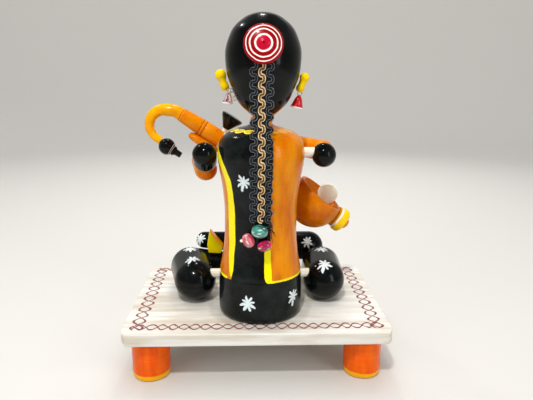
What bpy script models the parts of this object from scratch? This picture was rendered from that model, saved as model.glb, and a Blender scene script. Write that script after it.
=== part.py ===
"""Turned and lacquered wooden lady, seated on a small stool with a veena.

Metres, +Z up. The origin is on the floor under the middle of the stool, +X is
to the right as seen from behind, and the lady faces +Y.
"""
from math import acos, cos, pi, radians, sin, sqrt

import bpy
import bmesh
from mathutils import Matrix, Vector

MM = 0.001
GAP = 0.3 * MM

# Stool
TOP_WIDTH = 140.0 * MM
TOP_DEPTH = 96.7 * MM
TOP_THICKNESS = 6.8 * MM
TOP_CORNER_X = 4.0 * MM
TOP_CORNER_Y = 9.0 * MM
TOP_EASE = 0.5 * MM
STOOL_LEG_HEIGHT = 23.0 * MM
STOOL_LEG_RADIUS = 10.0 * MM
STOOL_LEG_X = TOP_WIDTH / 2.0 - STOOL_LEG_RADIUS - 3.2 * MM
STOOL_LEG_Y = TOP_DEPTH / 2.0 - STOOL_LEG_RADIUS - 4.65 * MM
SEAT = STOOL_LEG_HEIGHT + TOP_THICKNESS


def on_seat(x, y, height):
    """Point given in mm, its height measured from the top of the stool."""
    return Vector((x * MM, y * MM, SEAT + height * MM))


# Torso column: height above the seat and radius
BODY_X = 1.7 * MM
BODY_Y = -17.2 * MM
TORSO_PROFILE_MM = (
    (0.3, 19.8),
    (1.2, 21.8),
    (4.0, 22.8),
    (19.0, 22.5),
    (25.0, 22.0),
    (33.0, 20.5),
    (42.0, 19.5),
    (58.0, 19.3),
    (66.0, 19.9),
    (74.0, 21.0),
    (81.0, 22.2),
    (86.5, 22.7),
    (91.5, 22.2),
    (95.0, 20.6),
    (97.6, 17.8),
    (99.4, 13.9),
    (100.8, 9.3),
    (101.6, 5.7),
    (104.9, 5.4),
)

# Head: height above the seat and radius
HEAD_X = 2.5 * MM
HEAD_PROFILE_MM = (
    (105.2, 4.6),
    (107.1, 6.6),
    (110.3, 10.2),
    (114.3, 13.4),
    (119.6, 15.7),
    (126.4, 18.2),
    (134.5, 19.1),
    (140.1, 18.7),
    (146.5, 16.4),
    (150.0, 14.1),
    (152.5, 11.3),
    (154.6, 8.2),
    (155.9, 4.7),
    (156.5, 0.0),
)
DISC_RADIUS = 9.2 * MM
DISC_TILT = radians(12.0)
DISC_CENTRE = on_seat(1.9, -36.9, 139.8)

# Ears and earrings: upper and lower middle of each ear, foot and lean of each bell
EAR_LOWER_RADIUS = 2.2 * MM
EARS = (
    ("left", on_seat(-18.9, -17.2, 126.4), on_seat(-16.9, -17.2, 120.8), 2.8 * MM),
    ("right", on_seat(23.5, -17.2, 125.4), on_seat(21.4, -17.2, 120.2), 2.5 * MM),
)
EARRINGS = (
    ("left", on_seat(-15.6, -17.2, 112.2), radians(7.0), 2.8 * MM, 5.9 * MM),
    ("right", on_seat(19.7, -17.2, 110.3), radians(12.0), 3.3 * MM, 6.8 * MM),
)

# Braid: height above the seat and place front to back, and its beads
BRAID_X = 1.3 * MM
BRAID_WIDTH = 11.7 * MM
BRAID_THICKNESS = 1.8 * MM
BRAID_ROUTE_MM = (
    (130.0, -38.2),
    (126.2, -37.4),
    (120.2, -36.9),
    (108.2, -38.2),
    (96.2, -40.3),
    (89.2, -41.4),
    (83.2, -41.2),
    (76.2, -40.2),
    (68.2, -39.2),
    (60.2, -38.7),
    (55.2, -38.6),
)
BEADS = (
    ("bead_green", on_seat(0.5, -41.2, 51.4), (4.0, 3.3, 3.3), (0.05, 0.36, 0.30)),
    ("bead_pink", on_seat(-5.0, -39.8, 46.4), (3.0, 3.0, 3.6), (0.66, 0.09, 0.14)),
    ("bead_magenta", on_seat(3.0, -41.1, 43.9), (3.6, 3.0, 3.0), (0.50, 0.01, 0.08)),
)

# Arms
SLEEVE_RADIUS = 6.4 * MM
SLEEVE_LEFT = (on_seat(-27.7, -18.0, 86.2), on_seat(-27.9, -13.4, 82.8))
SLEEVE_RIGHT = (on_seat(34.6, -18.0, 86.3), on_seat(34.8, -17.0, 86.0))
SHOULDER_PEG_RADIUS = 2.6 * MM
SHOULDER_PEG_RISE = 1.4 * MM
FOREARM_LEFT_RADIUS = 6.3 * MM
FOREARM_LEFT = (on_seat(-28.5, -2.2, 75.8), on_seat(-31.0, 8.0, 79.0))
FOREARM_RIGHT_RADIUS = 5.7 * MM
FOREARM_RIGHT = (on_seat(36.0, -4.6, 86.8), on_seat(22.0, 9.0, 88.0))
HAND_LEFT_HALF = (9.5 * MM, 4.2 * MM)
HAND_LEFT_SHIFT = -5.0 * MM
HAND_RIGHT_HALF = (6.0 * MM, 4.0 * MM)

# Legs
THIGH_RADIUS = 11.8 * MM
THIGH_HEIGHT_MM = (THIGH_RADIUS + GAP) / MM
THIGH_LEFT = (on_seat(-35.5, -6.0, THIGH_HEIGHT_MM), on_seat(-40.5, 15.0, THIGH_HEIGHT_MM))
THIGH_RIGHT = (on_seat(39.0, -6.0, THIGH_HEIGHT_MM), on_seat(40.3, 15.0, THIGH_HEIGHT_MM))
HIP_PEG_RADIUS = 2.6 * MM
HIP_PEG_Y = -8.0 * MM
HIP_PEG_HEIGHT = 16.7 * MM
KNEE_RADIUS = 9.6 * MM
ANKLE_RADIUS = 5.4 * MM
SHIN_RIGHT = (on_seat(35.0, 37.0, 17.7), on_seat(-34.0, 41.8, 20.4))
LOWER_KNEE_RADIUS = 7.9 * MM
LOWER_ANKLE_RADIUS = 5.9 * MM
SHIN_LEFT = (on_seat(-38.0, 36.0, 8.3), on_seat(16.0, 24.0, 6.4))
FOOT_NEAR = on_seat(0.0, 25.4, 0.0)
FOOT_DEPTH = 8.6 * MM
FOOT_OUTLINE_MM = (
    (-21.0, 20.7),
    (-29.4, 31.2),
    (-31.0, 22.2),
    (-30.2, 16.8),
    (-22.4, 16.4),
)
OTHER_FOOT_OFFSET = Vector((46.0, -6.4, -3.0)) * MM

# Veena: the hook hangs from the upper end of the neck, the bowl from the lower
NECK_START = on_seat(-43.0, 10.5, 105.0)
NECK_SLOPE = radians(32.0)
NECK_LENGTH = 76.1 * MM
NECK_START_RADIUS = 4.0 * MM
NECK_MIDDLE_RADIUS = 4.8 * MM
NECK_END_RADIUS = 5.0 * MM
NECK_SWELL = 13.0 * MM
HOOK_FROM_NECK = Vector((-9.2, 0.0, -6.2)) * MM
HOOK_BEND_RADIUS = 8.7 * MM
HOOK_START_RADIUS = 3.6 * MM
HOOK_END_RADIUS = 2.2 * MM
FINIAL_FROM_NECK = Vector((-8.5, 0.0, -18.3)) * MM
FINIAL_RADIUS = 4.75 * MM
FINIAL_SLOPE = radians(33.0)
BOWL_DROP = 1.45 * MM
BOWL_RADIUS = 16.0 * MM
BOWL_TILT = radians(39.7)
BOWL_TIP = radians(7.0)
BOWL_RIM_HEIGHT = 6.0 * MM
BOWL_RIM_WALL = 1.9 * MM
BOWL_RECESS = 3.8 * MM
BRIDGE_RADIUS = 5.9 * MM
BRIDGE_THICKNESS = 3.0 * MM
BRIDGE_SLIDE = 2.7 * MM
TAIL_SLOPE = radians(36.9)
PEG_ALONG = 25.5 * MM


def clear_scene():
    for obj in list(bpy.data.objects):
        bpy.data.objects.remove(obj, do_unlink=True)


def principled(name, colour, roughness):
    mat = bpy.data.materials.new(name)
    mat.use_nodes = True
    shader = mat.node_tree.nodes["Principled BSDF"]
    shader.inputs["Base Color"].default_value = (*colour, 1.0)
    shader.inputs["Roughness"].default_value = roughness
    shader.inputs["Metallic"].default_value = 0.0
    return mat


def add_object(name, bm, mat, location=(0.0, 0.0, 0.0), rotation=None, smooth=True):
    bmesh.ops.recalc_face_normals(bm, faces=bm.faces)
    mesh = bpy.data.meshes.new(name)
    bm.to_mesh(mesh)
    bm.free()
    if smooth:
        mesh.shade_smooth()
        mesh.set_sharp_from_angle(angle=radians(38.0))
    mesh.materials.append(mat)
    obj = bpy.data.objects.new(name, mesh)
    bpy.context.collection.objects.link(obj)
    obj.location = location
    if rotation is not None:
        obj.rotation_mode = "QUATERNION"
        obj.rotation_quaternion = rotation
    return obj


def aim(direction):
    """Rotation that takes +Z to the direction."""
    return Vector((0.0, 0.0, 1.0)).rotation_difference(Vector(direction).normalized())


def turned_mesh(profile, segments):
    """Closed solid of revolution about Z from (height, radius) pairs."""
    bm = bmesh.new()
    rings = []
    for height, radius in profile:
        if radius < 1e-7:
            rings.append([bm.verts.new((0.0, 0.0, height))])
            continue
        ring = []
        for i in range(segments):
            angle = 2.0 * pi * i / segments
            ring.append(bm.verts.new((radius * cos(angle), radius * sin(angle), height)))
        rings.append(ring)
    for lower, upper in zip(rings, rings[1:]):
        for i in range(segments):
            j = (i + 1) % segments
            if len(lower) == 1:
                bm.faces.new((lower[0], upper[j], upper[i]))
            elif len(upper) == 1:
                bm.faces.new((lower[i], lower[j], upper[0]))
            else:
                bm.faces.new((lower[i], lower[j], upper[j], upper[i]))
    if len(rings[0]) > 1:
        bm.faces.new(list(reversed(rings[0])))
    if len(rings[-1]) > 1:
        bm.faces.new(rings[-1])
    return bm


def turned(name, profile, segments, mat, location, direction=(0.0, 0.0, 1.0)):
    return add_object(name, turned_mesh(profile, segments), mat, location, aim(direction))


def ball_profile(radius, steps):
    return [(-radius * cos(pi * i / steps), radius * sin(pi * i / steps)) for i in range(steps + 1)]


def capsule(name, ends, radii, mat, segments=18, steps=4):
    """Tapered capsule between two points with a ball at each end."""
    start, end = ends
    axis = end - start
    length = axis.length
    lean = (radii[0] - radii[1]) / length
    meet = acos(max(-1.0, min(1.0, lean)))
    profile = []
    for i in range(steps + 1):
        angle = (pi - meet) * i / steps
        profile.append((-radii[0] * cos(angle), radii[0] * sin(angle)))
    for i in range(steps + 1):
        angle = (pi - meet) + meet * i / steps
        profile.append((length - radii[1] * cos(angle), radii[1] * sin(angle)))
    profile[0] = (-radii[0], 0.0)
    profile[-1] = (length + radii[1], 0.0)
    return turned(name, profile, segments, mat, start, axis)


def build_stool(wood, lacquer):
    bm = bmesh.new()
    outline = []
    for quarter in range(4):
        sx = 1.0 if quarter in (0, 3) else -1.0
        sy = 1.0 if quarter in (0, 1) else -1.0
        for i in range(5):
            angle = (quarter + i / 4.0) * pi / 2.0
            x = sx * (TOP_WIDTH / 2.0 - TOP_CORNER_X) + TOP_CORNER_X * cos(angle)
            y = sy * (TOP_DEPTH / 2.0 - TOP_CORNER_Y) + TOP_CORNER_Y * sin(angle)
            outline.append((x, y))
    levels = (
        (STOOL_LEG_HEIGHT, TOP_EASE),
        (STOOL_LEG_HEIGHT + TOP_EASE, 0.0),
        (SEAT - TOP_EASE, 0.0),
        (SEAT, TOP_EASE),
    )
    rings = []
    for height, inset in levels:
        fx = 1.0 - 2.0 * inset / TOP_WIDTH
        fy = 1.0 - 2.0 * inset / TOP_DEPTH
        rings.append([bm.verts.new((x * fx, y * fy, height)) for x, y in outline])
    count = len(outline)
    for lower, upper in zip(rings, rings[1:]):
        for i in range(count):
            j = (i + 1) % count
            bm.faces.new((lower[i], lower[j], upper[j], upper[i]))
    bm.faces.new(list(reversed(rings[0])))
    bm.faces.new(rings[-1])
    add_object("stool_top", bm, wood)
    top = STOOL_LEG_HEIGHT - GAP
    leg = (
        (0.0, STOOL_LEG_RADIUS - 1.2 * MM),
        (1.0 * MM, STOOL_LEG_RADIUS - 0.2 * MM),
        (3.0 * MM, STOOL_LEG_RADIUS),
        (top - 3.0 * MM, STOOL_LEG_RADIUS),
        (top, STOOL_LEG_RADIUS - 0.4 * MM),
    )
    for end, sy in (("rear", -1.0), ("front", 1.0)):
        for side, sx in (("left", -1.0), ("right", 1.0)):
            place = (sx * STOOL_LEG_X, sy * STOOL_LEG_Y, 0.0)
            turned(f"stool_leg_{end}_{side}", leg, 20, lacquer, place)


def above_seat(profile_mm):
    return [(height * MM, radius * MM) for height, radius in profile_mm]


def build_body(black, red, yellow, clear):
    turned("torso", above_seat(TORSO_PROFILE_MM), 30, black, (BODY_X, BODY_Y, SEAT))
    turned("head", above_seat(HEAD_PROFILE_MM), 28, black, (HEAD_X, BODY_Y, SEAT))
    disc = (
        (0.0, DISC_RADIUS - 1.0 * MM),
        (0.8 * MM, DISC_RADIUS),
        (1.6 * MM, DISC_RADIUS),
        (2.6 * MM, DISC_RADIUS - 2.0 * MM),
        (3.4 * MM, DISC_RADIUS - 5.5 * MM),
        (3.7 * MM, 0.0),
    )
    out = (0.0, -cos(DISC_TILT), sin(DISC_TILT))
    turned("hair_disc", disc, 26, red, DISC_CENTRE, out)
    for side, top, bottom, upper_radius in EARS:
        length = (top - bottom).length
        rl = EAR_LOWER_RADIUS
        lower = [(-rl * cos(radians(a)), rl * sin(radians(a))) for a in (0, 35, 65, 95)]
        waist = [(0.42 * length, 0.82 * rl)]
        upper = [
            (length - upper_radius * cos(radians(a)), upper_radius * sin(radians(a)))
            for a in (60, 90, 120, 150, 180)
        ]
        profile = lower + waist + upper
        profile[0] = (-rl, 0.0)
        profile[-1] = (length + upper_radius, 0.0)
        turned(f"ear_{side}", profile, 16, yellow, bottom, top - bottom)
    for side, foot, lean, radius, height in EARRINGS:
        bell = (
            (0.0, radius - 0.5 * MM),
            (0.5 * MM, radius),
            (0.3 * height, 0.86 * radius),
            (0.7 * height, 0.62 * radius),
            (0.92 * height, 0.4 * radius),
            (height, 0.0),
        )
        turned(f"earring_{side}", bell, 14, clear, foot, (sin(lean), 0.0, cos(lean)))


def build_braid(trim):
    half = BRAID_WIDTH / 2.0
    thick = BRAID_THICKNESS / 2.0
    section = (
        (-half, -0.4 * thick),
        (-half, 0.4 * thick),
        (-0.9 * half, thick),
        (0.9 * half, thick),
        (half, 0.4 * thick),
        (half, -0.4 * thick),
        (0.9 * half, -thick),
        (-0.9 * half, -thick),
    )
    route = [Vector((BRAID_X, y * MM, SEAT + height * MM)) for height, y in BRAID_ROUTE_MM]
    bm = bmesh.new()
    rings = []
    for i, point in enumerate(route):
        along = (route[min(i + 1, len(route) - 1)] - route[max(i - 1, 0)]).normalized()
        outward = Vector((1.0, 0.0, 0.0)).cross(along).normalized()
        ring = [bm.verts.new(point + Vector((u, 0.0, 0.0)) + outward * v) for u, v in section]
        rings.append(ring)
    count = len(section)
    for a, b in zip(rings, rings[1:]):
        for i in range(count):
            j = (i + 1) % count
            bm.faces.new((a[i], a[j], b[j], b[i]))
    bm.faces.new(list(reversed(rings[0])))
    bm.faces.new(rings[-1])
    add_object("braid", bm, trim)
    for name, centre, half_size, colour in BEADS:
        glass = principled(name, colour, 0.15)
        bm = turned_mesh(ball_profile(1.0, 6), 14)
        bmesh.ops.scale(bm, vec=Vector(half_size) * MM, verts=bm.verts)
        add_object(name, bm, glass, centre)


def torso_reach(height, half):
    """Greatest torso radius within a distance of a height above the seat."""
    profile = above_seat(TORSO_PROFILE_MM)
    reach = 0.0
    for (z0, r0), (z1, r1) in zip(profile, profile[1:]):
        for z in (z0, z1, height - half, height + half):
            if z0 <= z <= z1 and abs(z - height) <= half + 1e-9:
                reach = max(reach, r0 + (r1 - r0) * (z - z0) / (z1 - z0))
    return reach


def half_chord(radius, offset):
    return sqrt(radius * radius - offset * offset)


def build_arms(black, orange, raw):
    capsule("sleeve_left", SLEEVE_LEFT, (SLEEVE_RADIUS, SLEEVE_RADIUS), black, 16)
    capsule("sleeve_right", SLEEVE_RIGHT, (SLEEVE_RADIUS, SLEEVE_RADIUS), black, 16)
    start = SLEEVE_RIGHT[0]
    height = start.z - SEAT + SHOULDER_PEG_RISE
    inner = BODY_X + torso_reach(height, SHOULDER_PEG_RADIUS) + GAP
    outer = start.x - half_chord(SLEEVE_RADIUS, SHOULDER_PEG_RISE - SHOULDER_PEG_RADIUS) - GAP
    peg = ((0.0, SHOULDER_PEG_RADIUS), (outer - inner, SHOULDER_PEG_RADIUS))
    turned("arm_peg_right", peg, 16, raw, (inner, start.y, SEAT + height), (1.0, 0.0, 0.0))
    capsule("forearm_left", FOREARM_LEFT, (FOREARM_LEFT_RADIUS, FOREARM_LEFT_RADIUS), orange)
    capsule("forearm_right", FOREARM_RIGHT, (FOREARM_RIGHT_RADIUS, FOREARM_RIGHT_RADIUS), orange)


def build_legs(black, yellow, raw):
    capsule("thigh_left", THIGH_LEFT, (THIGH_RADIUS, THIGH_RADIUS), black, 20, 5)
    capsule("thigh_right", THIGH_RIGHT, (THIGH_RADIUS, THIGH_RADIUS), black, 20, 5)
    capsule("shin_right", SHIN_RIGHT, (KNEE_RADIUS, ANKLE_RADIUS), black)
    capsule("shin_left", SHIN_LEFT, (LOWER_KNEE_RADIUS, LOWER_ANKLE_RADIUS), black)
    radius = torso_reach(HIP_PEG_HEIGHT, HIP_PEG_RADIUS)
    reach = half_chord(radius, abs(HIP_PEG_Y - HIP_PEG_RADIUS - BODY_Y))
    drop = half_chord(THIGH_RADIUS, 1.8 * MM)
    for side, thigh, s in (("left", THIGH_LEFT, -1.0), ("right", THIGH_RIGHT, 1.0)):
        inner = BODY_X + s * (reach + GAP)
        outer = thigh[0].x - s * (drop + GAP)
        peg = ((0.0, HIP_PEG_RADIUS), (abs(outer - inner), HIP_PEG_RADIUS))
        place = (inner, HIP_PEG_Y, SEAT + HIP_PEG_HEIGHT)
        turned(f"hip_peg_{side}", peg, 16, raw, place, (s, 0.0, 0.0))
    for name, offset in (("foot_right", Vector()), ("foot_left", OTHER_FOOT_OFFSET)):
        bm = bmesh.new()
        near = [bm.verts.new((x * MM, 0.0, z * MM)) for x, z in FOOT_OUTLINE_MM]
        face = bm.faces.new(near)
        far = bmesh.ops.extrude_face_region(bm, geom=[face])
        moved = [v for v in far["geom"] if isinstance(v, bmesh.types.BMVert)]
        bmesh.ops.translate(bm, vec=(0.0, FOOT_DEPTH, 0.0), verts=moved)
        bmesh.ops.bevel(bm, geom=list(bm.edges), offset=0.7 * MM, segments=2, profile=0.5, affect="EDGES")
        add_object(name, bm, yellow, FOOT_NEAR + offset)


def neck_axes():
    """Direction down the neck and the direction square to it, upwards."""
    u = Vector((cos(NECK_SLOPE), 0.0, -sin(NECK_SLOPE)))
    n = Vector((sin(NECK_SLOPE), 0.0, cos(NECK_SLOPE)))
    return u, n


def neck_radius(along):
    if along < NECK_SWELL:
        return NECK_START_RADIUS + (NECK_MIDDLE_RADIUS - NECK_START_RADIUS) * along / NECK_SWELL
    share = (along - NECK_SWELL) / (NECK_LENGTH - NECK_SWELL)
    return NECK_MIDDLE_RADIUS + (NECK_END_RADIUS - NECK_MIDDLE_RADIUS) * share


def build_hook(orange):
    u, n = neck_axes()
    centre = NECK_START + HOOK_FROM_NECK
    points = [NECK_START - u * GAP, NECK_START - u * 2.4 * MM, NECK_START + Vector((-4.4, 0.0, 2.15)) * MM]
    steps = 10
    for i in range(steps + 1):
        angle = radians(80.0 + (232.0 - 80.0) * i / steps)
        points.append(centre + Vector((cos(angle), 0.0, sin(angle))) * HOOK_BEND_RADIUS)
    points.append(points[-1] + Vector((0.788, 0.0, -0.616)) * 2.6 * MM)
    bm = bmesh.new()
    rings = []
    segments = 11
    for i, point in enumerate(points):
        along = (points[min(i + 1, len(points) - 1)] - points[max(i - 1, 0)]).normalized()
        side = Vector((0.0, 1.0, 0.0))
        up = along.cross(side)
        share = i / (len(points) - 1)
        radius = HOOK_START_RADIUS + (HOOK_END_RADIUS - HOOK_START_RADIUS) * share
        ring = []
        for k in range(segments):
            angle = 2.0 * pi * k / segments
            ring.append(bm.verts.new(point + (side * cos(angle) + up * sin(angle)) * radius))
        rings.append(ring)
    for a, b in zip(rings, rings[1:]):
        for i in range(segments):
            j = (i + 1) % segments
            bm.faces.new((a[i], a[j], b[j], b[i]))
    bm.faces.new(list(reversed(rings[0])))
    bm.faces.new(rings[-1])
    add_object("veena_hook", bm, orange)


def build_neck(orange, black):
    u, n = neck_axes()
    stations = (0.5 * MM, NECK_SWELL, 0.5 * NECK_LENGTH, NECK_LENGTH)
    neck = [(0.0, NECK_START_RADIUS - 0.3 * MM)] + [(along, neck_radius(along)) for along in stations]
    turned("veena_neck", neck, 20, orange, NECK_START, u)
    ball = [(-FINIAL_RADIUS * cos(pi * i / 9), FINIAL_RADIUS * sin(pi * i / 9)) for i in range(8)]
    ball[0] = (-FINIAL_RADIUS, 0.0)
    tail_mm = ((4.3, 2.6), (5.2, 2.6), (6.0, 1.7), (9.0, 1.7), (9.4, 1.3))
    tail = [(height * MM, radius * MM) for height, radius in tail_mm]
    axis = (cos(FINIAL_SLOPE), 0.0, -sin(FINIAL_SLOPE))
    turned("veena_finial", ball + tail, 18, black, NECK_START + FINIAL_FROM_NECK, axis)
    cone_mm = ((0.0, 1.5), (1.4, 1.5), (1.5, 1.9), (7.6, 6.0), (8.8, 6.4), (9.4, 6.2), (9.9, 4.0))
    cone = [(height * MM, radius * MM) for height, radius in cone_mm]
    foot = NECK_START + u * PEG_ALONG + n * (neck_radius(PEG_ALONG) + GAP)
    turned("veena_tuning_peg", cone, 22, black, foot, n)


def bowl_centre():
    u, n = neck_axes()
    return NECK_START + u * (NECK_LENGTH + GAP + BOWL_RADIUS) - n * BOWL_DROP


def build_bowl(orange, yellow, raw):
    centre = bowl_centre()
    slide = Vector((cos(BOWL_TILT), 0.0, -sin(BOWL_TILT)))
    rise = Vector((sin(BOWL_TILT) * cos(BOWL_TIP), -sin(BOWL_TIP), cos(BOWL_TILT) * cos(BOWL_TIP)))
    top = acos(BOWL_RIM_HEIGHT / BOWL_RADIUS)
    profile = []
    for i in range(12):
        angle = pi - (pi - top) * i / 11
        profile.append((BOWL_RADIUS * cos(angle), BOWL_RADIUS * sin(angle)))
    profile[0] = (-BOWL_RADIUS, 0.0)
    rim = profile[-1][1]
    floor = BOWL_RIM_HEIGHT - BOWL_RECESS
    profile.append((BOWL_RIM_HEIGHT, rim - BOWL_RIM_WALL))
    profile.append((floor + 1.0 * MM, rim - BOWL_RIM_WALL - 0.2 * MM))
    profile.append((floor, rim - BOWL_RIM_WALL - 1.2 * MM))
    turned("veena_bowl", profile, 28, orange, centre, rise)

    # The disc stands on the recess floor, edge down, facing front and back.
    ahead = rise.cross(slide)
    bridge = centre + rise * (floor + GAP + BRIDGE_RADIUS) + slide * BRIDGE_SLIDE
    disc = (
        (0.0, BRIDGE_RADIUS - 0.3 * MM),
        (0.3 * MM, BRIDGE_RADIUS),
        (BRIDGE_THICKNESS - 0.3 * MM, BRIDGE_RADIUS),
        (BRIDGE_THICKNESS, BRIDGE_RADIUS - 0.3 * MM),
    )
    turned("veena_bridge", disc, 26, raw, bridge - ahead * BRIDGE_THICKNESS / 2.0, ahead)

    out = Vector((cos(TAIL_SLOPE), 0.0, -sin(TAIL_SLOPE)))
    knob_mm = (
        (0.0, 6.2),
        (0.3, 6.6),
        (1.4, 6.6),
        (1.6, 7.0),
        (2.3, 7.4),
        (4.4, 7.4),
        (5.6, 6.6),
        (6.2, 4.8),
        (6.4, 3.2),
        (7.6, 3.1),
        (8.4, 2.2),
        (8.7, 0.0),
    )
    knob = [(height * MM, radius * MM) for height, radius in knob_mm]
    turned("veena_tail_knob", knob, 22, yellow, centre + out * (BOWL_RADIUS + GAP), out)


def build_hand(name, wrist, wrist_radius, shift, half_size, orange):
    """Flat rounded palm that fills the space between the end of a forearm and the neck."""
    u, n = neck_axes()
    half_length, half_width = half_size
    from_start = wrist - NECK_START
    along = from_start.dot(u)
    square = from_start.dot(n)
    side = 1.0 if square > 0.0 else -1.0
    near = max(neck_radius(along + shift - half_length), neck_radius(along + shift + half_length))
    thickness = abs(square) - wrist_radius - near - 2.0 * GAP
    end = thickness / 2.0
    profile = [(-half_length, 0.0)]
    profile += [(-half_length + end * (1.0 - cos(radians(a))), end * sin(radians(a))) for a in (30, 60, 90)]
    profile += [(half_length - end * (1.0 - cos(radians(a))), end * sin(radians(a))) for a in (90, 60, 30)]
    profile.append((half_length, 0.0))
    bm = turned_mesh(profile, 16)
    bmesh.ops.scale(bm, vec=Vector((half_width / end, 1.0, 1.0)), verts=bm.verts)
    turn = Matrix((Vector((0.0, 1.0, 0.0)), n, u)).transposed().to_quaternion()
    centre = NECK_START + u * (along + shift) + n * side * (near + GAP + end)
    add_object(name, bm, orange, centre, turn)


def main():
    clear_scene()
    wood = principled("stool_wood", (0.71, 0.66, 0.57), 0.6)
    leg_red = principled("leg_lacquer", (0.82, 0.10, 0.01), 0.25)
    black = principled("black_lacquer", (0.006, 0.008, 0.008), 0.15)
    orange = principled("orange_lacquer", (0.75, 0.27, 0.01), 0.2)
    yellow = principled("yellow_lacquer", (0.82, 0.50, 0.02), 0.2)
    red = principled("red_lacquer", (0.47, 0.01, 0.02), 0.25)
    raw = principled("raw_wood", (0.72, 0.68, 0.58), 0.65)
    clear = principled("clear_plastic", (0.70, 0.42, 0.42), 0.1)
    trim = principled("gimp_trim", (0.20, 0.15, 0.09), 0.8)
    build_stool(wood, leg_red)
    build_body(black, red, yellow, clear)
    build_braid(trim)
    build_arms(black, orange, raw)
    build_legs(black, yellow, raw)
    build_neck(orange, black)
    build_hook(orange)
    build_bowl(orange, yellow, raw)
    build_hand("hand_left", FOREARM_LEFT[1], FOREARM_LEFT_RADIUS, HAND_LEFT_SHIFT, HAND_LEFT_HALF, orange)
    build_hand("hand_right", FOREARM_RIGHT[1], FOREARM_RIGHT_RADIUS, 0.0, HAND_RIGHT_HALF, orange)


main()
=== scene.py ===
from math import acos, cos, degrees, hypot, pi, radians, sin

import bpy
import bmesh
import numpy as np
from mathutils import Matrix, Vector


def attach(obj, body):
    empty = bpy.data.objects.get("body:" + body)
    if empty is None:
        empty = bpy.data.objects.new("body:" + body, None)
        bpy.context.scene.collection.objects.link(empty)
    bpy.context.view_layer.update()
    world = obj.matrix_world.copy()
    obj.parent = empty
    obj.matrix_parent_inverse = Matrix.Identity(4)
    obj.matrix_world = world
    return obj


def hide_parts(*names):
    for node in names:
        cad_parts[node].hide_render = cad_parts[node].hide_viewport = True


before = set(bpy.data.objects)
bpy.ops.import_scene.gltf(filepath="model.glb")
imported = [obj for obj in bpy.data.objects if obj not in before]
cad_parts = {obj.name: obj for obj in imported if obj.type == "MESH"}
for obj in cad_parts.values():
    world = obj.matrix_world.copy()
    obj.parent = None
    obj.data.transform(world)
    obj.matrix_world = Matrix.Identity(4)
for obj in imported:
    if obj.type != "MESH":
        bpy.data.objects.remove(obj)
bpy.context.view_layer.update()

MM = 0.001


# View: the figurine from behind and slightly above, on a plain pale floor that sweeps up all
# round. Large soft lamps light it without a mirror image. A small key, two small edge lamps
# and one tall dim strip give the lacquer its highlights.
scene = bpy.context.scene
scene.view_settings.view_transform = "Standard"


def camera():
    data = bpy.data.cameras.new("view")
    data.lens = 33.1
    data.sensor_fit = "HORIZONTAL"
    data.sensor_width = 36.0
    data.clip_start = 0.01
    view = bpy.data.objects.new("view", data)
    scene.collection.objects.link(view)
    yaw, pitch, roll = radians(2.35), radians(13.37), radians(0.54)
    forward = Vector((sin(yaw) * cos(pitch), cos(yaw) * cos(pitch), -sin(pitch)))
    level = Vector((cos(yaw), -sin(yaw), 0.0))
    up = level.cross(forward)
    right = cos(roll) * level + sin(roll) * up
    up = cos(roll) * up - sin(roll) * level
    turn = Matrix((right, up, -forward)).transposed()
    view.matrix_world = Matrix.Translation((-0.0057, -0.2721, 0.1522)) @ turn.to_4x4()
    scene.camera = view


def area_light(name, place, target, size, power, tint, mirrored=False):
    data = bpy.data.lights.new(name, "AREA")
    data.shape = "RECTANGLE"
    data.size, data.size_y = size
    data.energy = power
    data.color = tint
    lamp = bpy.data.objects.new(name, data)
    scene.collection.objects.link(lamp)
    lamp.location = place
    lamp.rotation_mode = "QUATERNION"
    lamp.rotation_quaternion = (Vector(target) - Vector(place)).to_track_quat("-Z", "Y")
    lamp.visible_glossy = mirrored


camera()
area_light("sky", (0.0, -0.10, 0.85), (0.0, 0.0, 0.06), (0.60, 0.50), 2.5, (1.0, 0.99, 0.97))
area_light("left", (-0.60, -0.50, 0.40), (0.0, 0.0, 0.09), (0.45, 0.45), 1.9, (0.98, 0.99, 1.0))
area_light("right", (0.62, -0.45, 0.30), (0.0, 0.0, 0.09), (0.40, 0.45), 0.9, (1.0, 0.98, 0.95))
area_light("front", (0.15, 0.62, 0.50), (0.0, 0.0, 0.09), (0.50, 0.40), 1.2, (1.0, 1.0, 1.0))
area_light("back", (0.0, 0.30, 1.25), (0.0, 1.40, 0.35), (1.20, 0.30), 9.0, (1.0, 1.0, 1.0))
area_light("key", (-0.10, -0.42, 0.66), (0.0, 0.0, 0.10), (0.045, 0.045), 3.0, (1.0, 0.99, 0.96), True)
area_light("top edge", (0.0, 0.40, 0.74), (0.0, 0.0, 0.12), (0.05, 0.05), 0.7, (1.0, 1.0, 1.0), True)
area_light("left edge", (-0.42, 0.33, 0.70), (0.0, 0.0, 0.12), (0.05, 0.05), 0.6, (1.0, 1.0, 1.0), True)
area_light("strip", (0.55, -0.60, 0.30), (0.0, 0.0, 0.12), (0.16, 0.50), 1.2, (0.94, 1.0, 1.0), True)
room = bpy.data.worlds.new("room")
room.use_nodes = True
room.node_tree.nodes["Background"].inputs["Color"].default_value = (0.82, 0.83, 0.85, 1.0)
room.node_tree.nodes["Background"].inputs["Strength"].default_value = 0.16
scene.world = room


def srgb(r, g, b):
    def line(v):
        v /= 255.0
        return v / 12.92 if v <= 0.04045 else ((v + 0.055) / 1.055) ** 2.4
    return (line(r), line(g), line(b), 1.0)


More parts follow.
